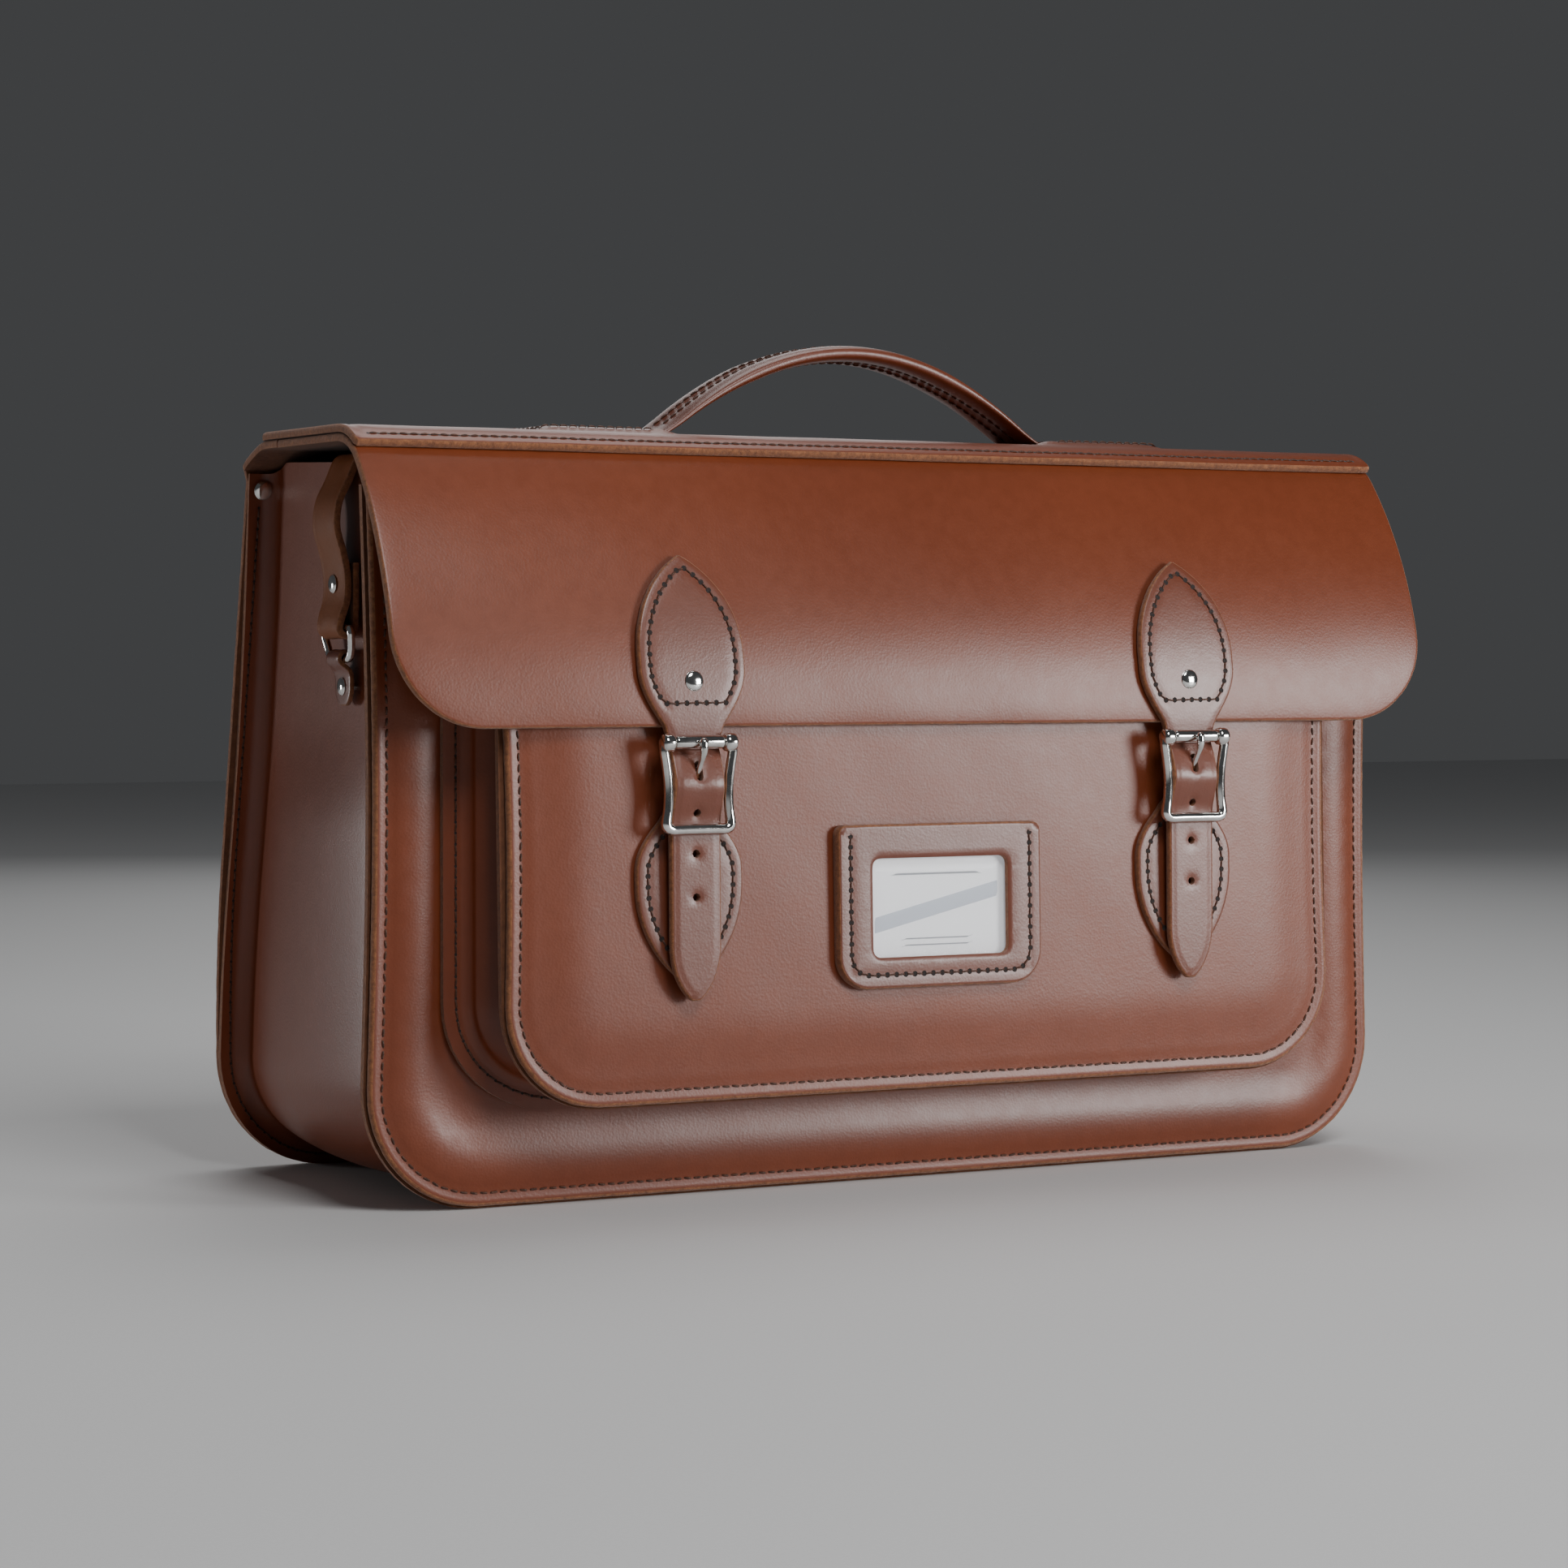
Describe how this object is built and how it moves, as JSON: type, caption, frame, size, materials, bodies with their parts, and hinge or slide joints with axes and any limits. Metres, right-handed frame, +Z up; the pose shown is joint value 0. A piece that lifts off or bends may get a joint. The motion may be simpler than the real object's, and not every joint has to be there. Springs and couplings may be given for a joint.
{
  "type": "leather satchel bag",
  "caption": "Leather satchel with a fold-over flap, a front pocket, roller-buckle straps, a top handle, a card holder, side rings and a stowed shoulder strap",
  "frame": {"origin": "on the floor, at the middle of the width and of the whole depth over the buckle prongs", "axes": "+X to the right of someone looking at the front, -Y out of the front, +Z up"},
  "size_m": [0.424, 0.1826, 0.3035],
  "materials": {
    "panel_leather": "smooth chestnut hide with fine grain, paler raw cut edges and dark thread",
    "gusset_leather": "satin chestnut hide",
    "strap_leather": "slightly darker, denser hide with creased edges",
    "nickel": "polished nickel plate",
    "clear_film": "clear film",
    "card": "plain white card"
  },
  "bodies": {
    "body": {"front_panel": "panel_leather", "back_panel": "panel_leather", "gusset": "gusset_leather", "pocket_front": "panel_leather", "pocket_gusset": "gusset_leather", "card_holder": "strap_leather", "card_window": "clear_film", "shoulder_strap": "strap_leather", "chape_left": "strap_leather", "ring_tab_left": "strap_leather", "tab_rivet_left": "nickel", "seam_rivet_left": "nickel", "shoulder_rivet_left": "nickel", "chape_right": "strap_leather", "ring_tab_right": "strap_leather", "tab_rivet_right": "nickel", "seam_rivet_right": "nickel", "shoulder_rivet_right": "nickel"},
    "lid": {"flap_top": "panel_leather", "top_panel": "panel_leather", "handle": "strap_leather"},
    "flap": {"flap": "panel_leather", "strap_left": "strap_leather", "strap_right": "strap_leather", "strap_rivet_left": "nickel", "strap_rivet_right": "nickel"},
    "id_card": {"id_card": "card"},
    "buckle_left": {"buckle_left": "nickel"},
    "roller_left": {"roller_left": "nickel"},
    "prong_left": {"prong_left": "nickel"},
    "ring_left": {"side_ring_left": "nickel"},
    "buckle_right": {"buckle_right": "nickel"},
    "roller_right": {"roller_right": "nickel"},
    "prong_right": {"prong_right": "nickel"},
    "ring_right": {"side_ring_right": "nickel"}
  },
  "joints": [
    {"name": "top_hinge", "type": "hinge", "parent": "body", "child": "lid", "pos_m": [0, 0.05813, 0.2573], "axis": [-1, 0, 0], "range_deg": [0, 180], "deforming": ["strap_left", "strap_right"]},
    {"name": "flap_crease", "type": "hinge", "parent": "lid", "child": "flap", "pos_m": [0, -0.04852, 0.2565], "axis": [-1, 0, 0], "range_deg": [0, 90], "deforming": ["strap_left", "strap_right"]},
    {"name": "buckle_tilt_left", "type": "hinge", "parent": "body", "child": "buckle_left", "pos_m": [-0.1025, -0.08225, 0.145], "axis": [-1, 0, 0], "range_deg": [0, 8], "deforming": ["strap_left"]},
    {"name": "prong_swing_left", "type": "hinge", "parent": "buckle_left", "child": "prong_left", "pos_m": [-0.1025, -0.08225, 0.145], "axis": [1, 0, 0], "range_deg": [0, 100], "deforming": ["strap_left"]},
    {"name": "roller_turn_left", "type": "hinge", "parent": "buckle_left", "child": "roller_left", "pos_m": [-0.1025, -0.08645, 0.16], "axis": [1, 0, 0], "continuous": true},
    {"name": "ring_swing_left", "type": "hinge", "parent": "body", "child": "ring_left", "pos_m": [-0.2034, -0.01275, 0.188], "axis": [0, -1, 0], "range_deg": [0, 30], "deforming": ["shoulder_strap"]},
    {"name": "buckle_tilt_right", "type": "hinge", "parent": "body", "child": "buckle_right", "pos_m": [0.1025, -0.08225, 0.145], "axis": [-1, 0, 0], "range_deg": [0, 8], "deforming": ["strap_right"]},
    {"name": "prong_swing_right", "type": "hinge", "parent": "buckle_right", "child": "prong_right", "pos_m": [0.1025, -0.08225, 0.145], "axis": [1, 0, 0], "range_deg": [0, 100], "deforming": ["strap_right"]},
    {"name": "roller_turn_right", "type": "hinge", "parent": "buckle_right", "child": "roller_right", "pos_m": [0.1025, -0.08645, 0.16], "axis": [1, 0, 0], "continuous": true},
    {"name": "ring_swing_right", "type": "hinge", "parent": "body", "child": "ring_right", "pos_m": [0.2034, -0.01275, 0.188], "axis": [0, 1, 0], "range_deg": [0, 30], "deforming": ["shoulder_strap"]},
    {"name": "card_slide", "type": "slide", "parent": "body", "child": "id_card", "axis": [0, 0.03, 0.9996], "range_m": [0, 0.045]}
  ]
}
